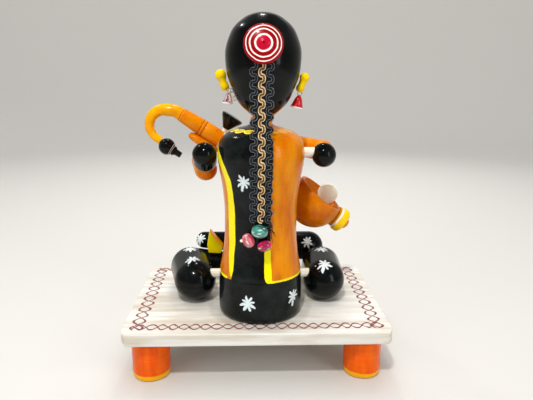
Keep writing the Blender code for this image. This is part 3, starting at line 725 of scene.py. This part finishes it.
def on_braid(route, down, side, lift):
    """Point in metres at a length down the plait, off its line to the side and outwards in mm."""
    dense, lengths = route
    down = min(max(down, 0.0), lengths[-1])
    i = min(max(int(np.searchsorted(lengths, down)), 1), len(lengths) - 1)
    t = (down - lengths[i - 1]) / max(lengths[i] - lengths[i - 1], 1e-9)
    point = dense[i - 1].lerp(dense[i], t)
    along = (dense[min(i + 2, len(dense) - 1)] - dense[max(i - 3, 0)]).normalized()
    out = along.cross(Vector((1.0, 0.0, 0.0))).normalized()
    if out.y > 0.0:
        out = -out
    return (point + Vector((side, 0.0, 0.0)) + out * lift) * MM + Vector((BRAID_X, 0.0, 0.0))


def meander(u, centre, offset, phase):
    """Length down the plait and distance across it, in mm, of a cord at an offset from its lane's line."""
    swing, fold = 1.25 if centre else 1.0, 0.48
    rate = 2.0 * pi / BRAID_WAVE
    phi = rate * u + phase
    step_down = 1.0 - 2.0 * fold * rate * cos(2.0 * phi)
    step_side = swing * rate * cos(phi)
    size = hypot(step_down, step_side)
    return (u - fold * sin(2.0 * phi) - offset * step_side / size,
            centre + swing * sin(phi) + offset * step_down / size)


def thread(name, light, dark):
    n = Nodes(name)
    x, y, z = n.xyz()
    twist = n.noise(1700.0, 3.0)
    ply = n.math("SINE", (x + z + y) * (2.0 * pi / 0.00042))
    n.shader.inputs["Sheen Weight"].default_value = 0.06
    n.shader.inputs["Specular IOR Level"].default_value = 0.2
    colour = n.mix(n.span(twist, 0.35, 0.65), light, dark)
    return n.finish(colour, 0.55, n.bump(ply * 0.5 + twist, 0.5, 0.00012))


def tube(points, radii, sides=7):
    """Round cord through the points, with a radius at each."""
    around = circle(sides)
    rings = []
    for i, point in enumerate(points):
        along = (points[min(i + 1, len(points) - 1)] - points[max(i - 1, 0)]).normalized()
        a = along.cross(Vector((0.0, 1.0, 0.0)))
        if a.length < 1e-4:
            a = along.cross(Vector((1.0, 0.0, 0.0)))
        a.normalize()
        b = along.cross(a).normalized()
        rings.append([point + (a * c + b * s) * radii[i] for c, s in around])
    return shell(rings)


def merge(parts):
    verts, faces = [], []
    for v, f in parts:
        base = len(verts)
        verts += v
        faces += [tuple(i + base for i in face) for face in f]
    return verts, faces


def cord(route, length, centre, phase, k):
    """One cord of a lane; k is 0 or 2 at the lane's edges and 1 along its middle."""
    steps = int(length / 0.2)
    points, radii = [], []
    for i in range(steps + 1):
        u = length * i / steps
        down, side = meander(u, centre, (k - 1) * 0.60, phase)
        lift = 0.34 + 0.10 * cos(4.0 * pi * u / BRAID_WAVE + k) + (0.08 if k == 1 else 0.0)
        points.append(on_braid(route, down, side, lift))
        if centre:
            radii.append(0.00025 if k == 1 else 0.00013)
        else:
            radii.append(0.00025 + (-0.00006 if k == 1 else 0.00009) * cos(2.0 * pi * u / BRAID_WAVE))
    return tube(points, radii)


def frayed_thread(route, full, k):
    points = []
    for i in range(13):
        t = i / 12.0
        down = full - 3.0 + (3.0 + 0.8 * ((5 * k) % 9)) * t
        side = 3.2 + 0.28 * k + (0.5 + 0.3 * ((4 * k) % 9)) * t * t + 0.25 * sin(5.0 * t + k)
        point = on_braid(route, min(down, full), side, 0.5 + 0.5 * t + 0.1 * sin(9.0 * t + k))
        points.append(point - Vector((0.0, 0.0, max(down - full, 0.0))) * MM)
    return tube(points, [0.00013] * len(points), 5)


def braid():
    route = braid_route()
    full = route[1][-1]
    total = full - 4.0
    black = thread("gimp_black", srgb(22, 24, 27), srgb(10, 11, 12))
    # Painted sheen: the edge cords of the black lanes are grey where black satin cord would shine.
    painted_sheen = thread("gimp_painted_sheen", srgb(132, 140, 152), srgb(58, 64, 72))
    cream = thread("gimp_cream", srgb(252, 230, 184), srgb(196, 156, 104))
    brown = thread("gimp_brown", srgb(140, 84, 44), srgb(70, 38, 20))
    tape = thread("gimp_ground", srgb(9, 9, 10), srgb(4, 4, 5))
    lean = 0.2
    for lane, centre, phase, length, edge, middle in (
            ("left", -LANE, lean, total, painted_sheen, black), ("middle", 0.0, 0.0, total, cream, brown),
            ("right", LANE, -lean, full, painted_sheen, black)):
        for mat, cords in ((edge, (0, 2)), (middle, (1,))):
            verts, faces = merge([cord(route, length, centre, phase, k) for k in cords])
            add_piece(f"braid_{lane}_{mat.name}", verts, faces, mat, "gimp_trim", (), 60.0)
    verts, faces = merge([frayed_thread(route, full, k) for k in range(9)])
    add_piece("braid_frayed_end", verts, faces, black, "gimp_trim", (), 60.0)

    # The ground that the cords are worked on is cut to their outer waves.
    verts, faces, lefts, rights = [], [], [], []
    columns, steps, overhang = 8, 220, 0.8
    for i in range(steps + 1):
        u = total * i / steps
        lefts.append(meander(u, -LANE, -overhang, lean)[1])
        rights.append(meander(u, LANE, overhang, -lean)[1])
        for c in range(columns + 1):
            side = lefts[-1] + (rights[-1] - lefts[-1]) * c / columns
            verts.append(tuple(on_braid(route, u, side, -0.10)))
    for i in range(steps):
        for c in range(columns):
            a = i * (columns + 1) + c
            faces.append((a, a + 1, a + columns + 2, a + columns + 1))
    ground = add_piece("braid_ground", verts, faces, tape, "gimp_trim", ["braid"])
    across = [right - left for left, right in zip(lefts, rights)]
    area = sum(0.5 * (a + b) for a, b in zip(across, across[1:])) * total / steps * MM * MM
    (max(rights) - min(lefts)) * MM
    total * MM


braid()


# Braid's beads: three glossy glass beads on threads at the end of the plait, teal, rose and
# magenta with near-white streaks painted on as highlights, and one small ivory bead beside them.
def beads():
    for name, centre, axis, half_long, half_wide, light, dark in (
            ("green", (0.5, -41.2, 81.2), (1.0, 0.0, -0.12), 4.1, 3.4, (96, 190, 168), (20, 92, 86)),
            ("pink", (-5.0, -39.8, 76.2), (0.45, 0.0, -0.89), 3.7, 3.0, (240, 132, 146), (196, 60, 84)),
            ("magenta", (3.0, -41.1, 73.7), (0.95, 0.0, 0.30), 3.6, 2.8, (226, 26, 104), (150, 6, 60))):
        n = Nodes(f"bead_{name}_glaze")
        along = n.vec("DOT_PRODUCT", n.place, Vector(axis).normalized())
        drawn = n.vec("SUBTRACT", n.place, n.vec("SCALE", axis, scale=along * 0.75))
        swirl = n.noise(420.0, 3.0, drawn)
        # Painted highlights: near-white streaks over the glass colour stand for its shine.
        painted_highlight = n.noise(620.0, 2.0, n.vec("ADD", drawn, (0.013, 0.004, 0.009)))
        colour = n.mix(n.span(swirl, 0.35, 0.62), srgb(*light), srgb(*dark))
        colour = n.mix(n.span(painted_highlight, 0.60, 0.68, 0.0, 0.75), colour, srgb(226, 240, 234))
        n.shader.inputs["Transmission Weight"].default_value = 0.12
        n.finish(colour, 0.10, n.bump(swirl, 0.15, 0.0004), 0.8, 0.04)
        profile = [(half_long * h, half_wide * r ** 0.86) for h, r in arc(0.0, 1.0, 0, 180, 28)]
        turned(f"bead_{name}_glossy", profile, Vector(centre) * MM, axis, 48, n.mat, f"{name}_glass",
               [f"bead_{name}"], 60.0)
    n = Nodes("ivory_bead")
    n.finish(n.mix(n.noise(900.0, 2.0), srgb(250, 246, 236), srgb(226, 216, 196)), 0.25)
    turned("bead_ivory_small", arc(0.0, 0.8, 0, 180, 12), Vector((-8.4, -40.6, 76.3)) * MM, (1.0, 0.0, 0.3),
           24, n.mat, "pink_glass", (), 60.0)


beads()


# Arms: short black sleeves turned with rounded ends, the right one on a raw-wood dowel, and
# forearms in orange lacquer that reach round to the instrument.
def rounded_rod(length, r0, r1, steps=14):
    """Profile of a rod with a rounded end of its own radius at each end of its length, in mm."""
    meet = 180.0 - degrees(acos((r0 - r1) / length))
    lower, upper = arc(0.0, r0, 0.0, meet, steps), arc(length, r1, meet, 180.0, steps)
    (h0, s0), (h1, s1) = lower[-1], upper[0]
    parts = max(4, int(length / 1.5))
    side = [(h0 + (h1 - h0) * k / parts, s0 + (s1 - s0) * k / parts) for k in range(1, parts)]
    return lower + side + upper


def black_paint(n):
    return n.clouded(srgb(5, 6, 6), srgb(17, 22, 22), 130.0, 0.4)


def black_rod(name, a, b, r0, r1, segments, steps=14, gloss=0.10, flowers=()):
    """A limb in black lacquer from a to b in mm, with any flowers as centre, normal, size and turn."""
    a, b = Vector(a), Vector(b)
    n = Nodes(f"black_lacquer_{name}")
    colour = black_paint(n)
    for centre, normal, size, turn in flowers:
        u = Vector((1.0, 0.0, 0.0))
        v = Vector(normal).normalized().cross(u).normalized()
        colour = n.mix(flower(n, Vector(centre) * MM, u, v, size, turn), colour, srgb(224, 235, 240))
    turned(f"{name}_lacquered", rounded_rod((b - a).length, r0, r1, steps), a * MM, b - a, segments,
           lacquer(n, colour, b - a, 0.1, gloss), "black_lacquer", [name], 60.0)


def raw_wood(name, axis):
    n = Nodes(name)
    shift = n.vec("SCALE", axis, scale=n.vec("DOT_PRODUCT", n.place, axis) * 0.9)
    grain = n.noise(1400.0, 3.0, n.vec("SUBTRACT", n.place, shift))
    colour = n.mix(n.span(grain, 0.35, 0.7), srgb(248, 243, 230), srgb(224, 210, 182))
    return n.finish(colour, 0.62, n.bump(grain, 0.25, 0.0002))


def dowel(node, finish, start, reach):
    """Raw-wood peg from a start in mm, reaching to the right, or to the left if the reach is negative."""
    profile = [(0.0, 0.0), (0.0, 2.6), (abs(reach), 2.6), (abs(reach), 0.0)]
    turned(f"{node}_dowel", profile, Vector(start) * MM, (reach, 0, 0), 40,
           raw_wood(finish, (1.0, 0.0, 0.0)), "raw_wood", [node])


def orange_lacquer(name, axis, light=(234, 146, 0), dark=(214, 104, 0)):
    n = Nodes(name)
    return lacquer(n, n.clouded(srgb(*light), srgb(*dark), 120.0), axis)


def arms():
    black_rod("sleeve_left", (-27.7, -18.0, 116.0), (-27.9, -13.4, 112.6), 6.4, 6.4, 64, gloss=0.08)
    black_rod("sleeve_right", (34.6, -18.0, 116.1), (34.8, -17.0, 115.8), 6.4, 6.4, 64, gloss=0.08)
    dowel("arm_peg_right", "raw_wood_arm_right", (23.9, -18.0, 117.5), 5.6)
    for side, a, b, radius in (("left", (-28.5, -2.2, 105.6), (-31.0, 8.0, 108.8), 6.3),
                               ("right", (36.0, -4.6, 116.6), (22.0, 9.0, 117.8), 5.7)):
        a, b = Vector(a), Vector(b)
        turned(f"forearm_{side}_lacquered", rounded_rod((b - a).length, radius, radius), a * MM, b - a, 64,
               orange_lacquer(f"orange_lacquer_forearm_{side}", b - a), "orange_lacquer",
               [f"forearm_{side}"], 60.0)


arms()


# Legs: crossed legs in black lacquer with brushed white flowers, two thighs on raw dowels at
# the hips, two tapered shins in front, and yellow wedge feet, all turned or cut and glued.
def legs():
    up = (0.0, 0.0, 1.0)
    black_rod("thigh_left", (-35.5, -6.0, 41.9), (-40.5, 15.0, 41.9), 11.8, 11.8, 96, 18, flowers=(
        ((-37.0, -4.4, 53.7), up, 0.0040, 0.3), ((-40.1, 13.5, 53.7), up, 0.0040, 0.7)))
    black_rod("thigh_right", (39.0, -6.0, 41.9), (40.3, 15.0, 41.9), 11.8, 11.8, 96, 18, flowers=(
        ((38.3, -10.9, 52.6), (0.0, -0.35, 0.94), 0.0040, 0.3), ((40.2, 12.0, 53.7), up, 0.0040, 0.7)))
    black_rod("shin_right", (35.0, 37.0, 47.5), (-34.0, 41.8, 50.2), 9.6, 5.4, 72, flowers=(
        ((-36.4, 37.7, 52.6), (-0.25, -0.7, 0.65), 0.0034, 0.2),
        ((33.5, 29.0, 53.0), (0.0, -0.8, 0.6), 0.0034, 0.6)))
    black_rod("shin_left", (-38.0, 36.0, 38.1), (16.0, 24.0, 36.2), 7.9, 5.9, 72)
    dowel("hip_peg_left", "raw_wood_hip_left", (-17.6, -8.0, 46.5), -9.4)
    dowel("hip_peg_right", "raw_wood_hip_right", (21.0, -8.0, 46.5), 9.5)


def feet():
    outline = ((-21.0, 50.5), (-29.4, 61.0), (-31.0, 52.0), (-30.2, 46.6), (-22.4, 46.2))
    thick, ease = 8.6, 0.8
    for side, dx, dy, dz in (("right", 0.0, 0.0, 0.0), ("left", 46.0, -6.4, -3.0)):
        n = Nodes(f"yellow_lacquer_foot_{side}")
        facing = n.vec("DOT_PRODUCT", n.node("NewGeometry", {}, "True Normal"), (0.62, 0.0, 0.78))
        colour = n.mix(n.span(facing, 0.55, 0.8), srgb(255, 234, 0), srgb(240, 150, 0))
        bm = bmesh.new()
        near = [bm.verts.new(((x + dx) * MM, (25.4 + dy) * MM, (z + dz) * MM)) for x, z in outline]
        far = bmesh.ops.extrude_face_region(bm, geom=[bm.faces.new(near)])
        moved = [v for v in far["geom"] if isinstance(v, bmesh.types.BMVert)]
        bmesh.ops.translate(bm, vec=(0.0, thick * MM, 0.0), verts=moved)
        bmesh.ops.bevel(bm, geom=list(bm.edges), offset=ease * MM, segments=5, profile=0.5, affect="EDGES")
        bm.verts.index_update()
        verts = [tuple(v.co) for v in bm.verts]
        faces = [tuple(v.index for v in f.verts) for f in bm.faces]
        bm.free()
        add_piece(f"foot_{side}_lacquered", verts, faces, lacquer(n, colour, (0, 1, 0)), "yellow_lacquer",
                  [f"foot_{side}"], 60.0)


legs()
feet()


# Veena: the instrument, turned in orange lacquer and glued to the hands. Its grooved neck has a
# bent hook with a black finial, a black tuning peg, and a bowl with a raw-wood bridge disc
# standing in it and a banded knob at its end.
NECK_SLOPE = radians(32.0)
DOWN_NECK = Vector((cos(NECK_SLOPE), 0.0, -sin(NECK_SLOPE)))
OFF_NECK = Vector((sin(NECK_SLOPE), 0.0, cos(NECK_SLOPE)))
NECK_TOP = Vector((-43.0, 10.5, 134.8))
NECK_LENGTH = 76.1


def neck_radius(along):
    """Radius of the neck in mm at a length along it: it swells fast, then slowly."""
    if along < 13.0:
        return 4.0 + 0.8 * along / 13.0
    return 4.8 + 0.2 * (along - 13.0) / (NECK_LENGTH - 13.0)


def veena_neck():
    grooves = (13.2, 15.2)
    n = Nodes("orange_lacquer_neck")
    along = n.along(NECK_TOP * MM, DOWN_NECK)
    colour = n.clouded(srgb(230, 142, 0), srgb(216, 112, 0), 120.0)
    bare = n.span(along, 26.0, 26.3) * n.span(along, 27.2, 27.5, 1.0, 0.0)
    colour = n.mix(bare, colour, srgb(240, 232, 212))
    for at, width in ((0.1, 0.20), (grooves[0], 0.24), (grooves[1], 0.24)):
        line = n.span(abs(along - at), width, width + 0.16, 1.0, 0.0)
        colour = n.mix(line * 0.85, colour, srgb(178, 70, 6))
    profile = [(-0.2, 0.0), (-0.2, 3.4), (0.1, 3.75), (0.4, 3.98)]
    profile += [(at, neck_radius(at)) for at in (1.5, 7.0)]
    for at in grooves:
        r = neck_radius(at)
        profile += [(at - 0.35, r), (at, r - 0.18), (at + 0.35, r)]
    profile += [(at, neck_radius(at)) for at in (25.0, 45.0, NECK_LENGTH)]
    profile += [(NECK_LENGTH + 1.6, 5.0), (NECK_LENGTH + 1.6, 0.0)]
    turned("veena_neck_lacquered", profile, NECK_TOP * MM, DOWN_NECK, 72, lacquer(n, colour, DOWN_NECK),
           "orange_lacquer", ["veena_neck"], 50.0)


def veena_hook():
    points = [NECK_TOP - DOWN_NECK * back for back in (-0.3, 0.5, 1.5, 2.4)]
    points.append(NECK_TOP + Vector((-4.4, 0.0, 2.15)))
    centre, bend = NECK_TOP + Vector((-9.2, 0.0, -6.2)), 8.7
    for i in range(41):
        angle = radians(80.0 + 152.0 * i / 40)
        points.append(centre + Vector((cos(angle), 0.0, sin(angle))) * bend)
    points.append(points[-1] + Vector((0.788, 0.0, -0.616)) * 3.2)
    radii = [(3.65 - 1.4 * i / (len(points) - 1)) * MM for i in range(len(points))]
    mat = orange_lacquer("orange_lacquer_hook", (0, 1, 0), (248, 180, 0), (238, 144, 0))
    add_piece("veena_hook_lacquered", *tube([point * MM for point in points], radii, 40), mat,
              "orange_lacquer", ["veena_hook"], 60.0)


def veena_finial():
    axis = Vector((cos(radians(33.0)), 0.0, -sin(radians(33.0))))
    place = Vector((-51.5, 10.5, 116.5)) * MM
    n = Nodes("black_lacquer_finial")
    along = n.along(place, axis)
    bands = [n.span(along, low, low + 0.05) * n.span(along, high - 0.05, high, 1.0, 0.0)
             for low, high in ((2.7, 3.0), (3.5, 3.75))]
    colour = n.mix(n.math("MAXIMUM", *bands), black_paint(n), srgb(226, 224, 216))
    profile = arc(0.0, 4.75, 0, 145, 29) + [(4.15, 2.75), (4.6, 2.85), (5.1, 2.7), (5.4, 2.2), (6.0, 1.8),
                                            (8.8, 1.7), (9.3, 1.5), (9.4, 1.0), (9.4, 0.0)]
    turned("veena_finial_lacquered", profile, place, axis, 64, lacquer(n, colour, axis, 0.1, 0.10),
           "black_lacquer", ["veena_finial"], 50.0)


def veena_tuning_peg():
    at = 25.5
    foot = (NECK_TOP + DOWN_NECK * at + OFF_NECK * neck_radius(at)) * MM
    n = Nodes("black_lacquer_peg")
    colour = n.mix(n.span(n.along(foot, OFF_NECK), 1.7, 1.8, 1.0, 0.0), black_paint(n), srgb(238, 234, 220))
    profile = [(-0.3, 0.0), (-0.3, 1.5), (1.7, 1.5), (1.8, 1.9)]
    profile += smooth_profile(((1.9, 2.0), (5.0, 4.0), (7.9, 6.0), (9.0, 6.4)), 0.5)
    profile += [(9.4, 6.35), (9.7, 6.1), (9.95, 5.0), (10.1, 2.5), (10.1, 0.0)]
    turned("veena_tuning_peg_lacquered", profile, foot, OFF_NECK, 72, lacquer(n, colour, OFF_NECK, 0.1, 0.10),
           "black_lacquer", ["veena_tuning_peg"], 50.0)


BOWL_TILT, BOWL_TIP, BOWL_RADIUS, BOWL_FLOOR = radians(39.7), radians(7.0), 16.0, 2.2
BOWL_RISE = Vector((sin(BOWL_TILT) * cos(BOWL_TIP), -sin(BOWL_TIP), cos(BOWL_TILT) * cos(BOWL_TIP)))
BOWL_CENTRE = NECK_TOP + DOWN_NECK * (NECK_LENGTH + 0.3 + BOWL_RADIUS) - OFF_NECK * 1.45


def veena_bowl():
    mouth, wall = 6.0, 1.9
    n = Nodes("orange_lacquer_bowl")
    off = n.vec("SUBTRACT", n.place, BOWL_CENTRE * MM)
    along = n.along(BOWL_CENTRE * MM, BOWL_RISE)
    flat = n.vec("LENGTH", n.vec("SUBTRACT", off, n.vec("SCALE", BOWL_RISE, scale=along * 0.001)))
    colour = n.clouded(srgb(218, 128, 0), srgb(190, 88, 0), 90.0)
    lip = n.span(abs(flat - 0.0132), 0.00012, 0.0003, 1.0, 0.0) * n.math("GREATER_THAN", along, mouth - 0.3)
    colour = n.mix(lip, colour, srgb(176, 66, 8))
    profile = arc(0.0, BOWL_RADIUS, 0.0, 180.0 - degrees(acos(mouth / BOWL_RADIUS)), 40)
    rim = profile[-1][1]
    profile += [
        (mouth + 0.25, rim - 0.25), (mouth + 0.3, rim - 0.9), (mouth + 0.1, rim - wall + 0.1),
        (mouth - 0.3, rim - wall), (BOWL_FLOOR + 1.2, rim - wall - 0.2), (BOWL_FLOOR + 0.4, rim - wall - 0.6),
        (BOWL_FLOOR, rim - wall - 1.6), (BOWL_FLOOR, 0.0)]
    turned("veena_bowl_lacquered", profile, BOWL_CENTRE * MM, BOWL_RISE, 128, lacquer(n, colour, BOWL_RISE),
           "orange_lacquer", ["veena_bowl"], 50.0)


def veena_bridge():
    radius, thick = 5.9, 3.0
    slide = Vector((cos(BOWL_TILT), 0.0, -sin(BOWL_TILT)))
    ahead = BOWL_RISE.cross(slide)
    centre = BOWL_CENTRE + BOWL_RISE * (BOWL_FLOOR + 0.3 + radius) + slide * 2.7
    edge = [(0.0, radius - 0.35), (0.1, radius - 0.1), (0.35, radius)]
    profile = [(0.0, 0.0)] + edge + [(thick - h, r) for h, r in edge[::-1]] + [(thick, 0.0)]
    turned("veena_bridge_sawn", profile, (centre - ahead * thick / 2.0) * MM, ahead, 72,
           raw_wood("raw_wood_bridge", (0.0, 1.0, 0.0)), "raw_wood", ["veena_bridge"], 40.0)


def veena_tail_knob():
    slope = radians(36.9)
    out = Vector((cos(slope), 0.0, -sin(slope)))
    start = (BOWL_CENTRE + out * (BOWL_RADIUS - 0.9)) * MM
    n = Nodes("yellow_lacquer_knob")
    along = n.along(start, out)
    colour = n.mix(n.span(along, 1.1, 1.2), srgb(222, 136, 10), srgb(244, 240, 228))
    colour = n.mix(n.span(along, 2.45, 2.55), colour, srgb(250, 206, 12))
    colour = n.mix(n.span(along, 7.4, 7.5), colour, srgb(238, 146, 10))
    profile = [
        (0.0, 0.0), (0.0, 6.3), (1.0, 6.5), (1.2, 6.6), (2.45, 6.6), (2.7, 6.95), (3.1, 7.25), (3.6, 7.4),
        (5.4, 7.4), (6.2, 7.1), (6.9, 6.4), (7.35, 5.2), (7.5, 3.7), (7.55, 3.25), (8.0, 3.15), (8.7, 3.1),
        (9.3, 2.8), (9.75, 2.0), (9.9, 1.0), (9.9, 0.0)]
    turned("veena_tail_knob_lacquered", profile, start, out, 72, lacquer(n, colour, out),
           "yellow_lacquer", ["veena_tail_knob"], 50.0)


veena_neck()
veena_hook()
veena_finial()
veena_tuning_peg()
veena_bowl()
veena_bridge()
veena_tail_knob()


# Hands: flat rounded palms cut from wood in orange lacquer, each glued between the end of its
# forearm and the neck of the veena, the left one below the neck and the right one above.
def hand(side, wrist, wrist_radius, shift, half_length, half_width):
    from_top = Vector(wrist) - NECK_TOP
    along, off = from_top.dot(DOWN_NECK) + shift, from_top.dot(OFF_NECK)
    near = max(neck_radius(along - half_length), neck_radius(along + half_length))
    thick = abs(off) - wrist_radius - near
    middle = NECK_TOP + DOWN_NECK * along + OFF_NECK * (1.0 if off > 0.0 else -1.0) * (near + thick / 2.0)
    rings = []
    for h, r in arc(0.0, 1.0, 0, 180, 24):
        r = r ** 0.6
        points = circle(40) if r > 1e-5 else [(0.0, 0.0)]
        rings.append([(middle + DOWN_NECK * h * half_length + Vector((0.0, half_width * r * c, 0.0))
                       + OFF_NECK * (thick / 2.0 + 0.5) * r * s) * MM for c, s in points])
    mat = orange_lacquer(f"orange_lacquer_hand_{side}", OFF_NECK)
    add_piece(f"hand_{side}_lacquered", *shell(rings), mat, "orange_lacquer", [f"hand_{side}"], 60.0)


hand("left", (-31.0, 8.0, 108.8), 6.3, -5.0, 9.5, 4.2)
hand("right", (22.0, 9.0, 117.8), 5.7, 0.0, 6.0, 4.0)
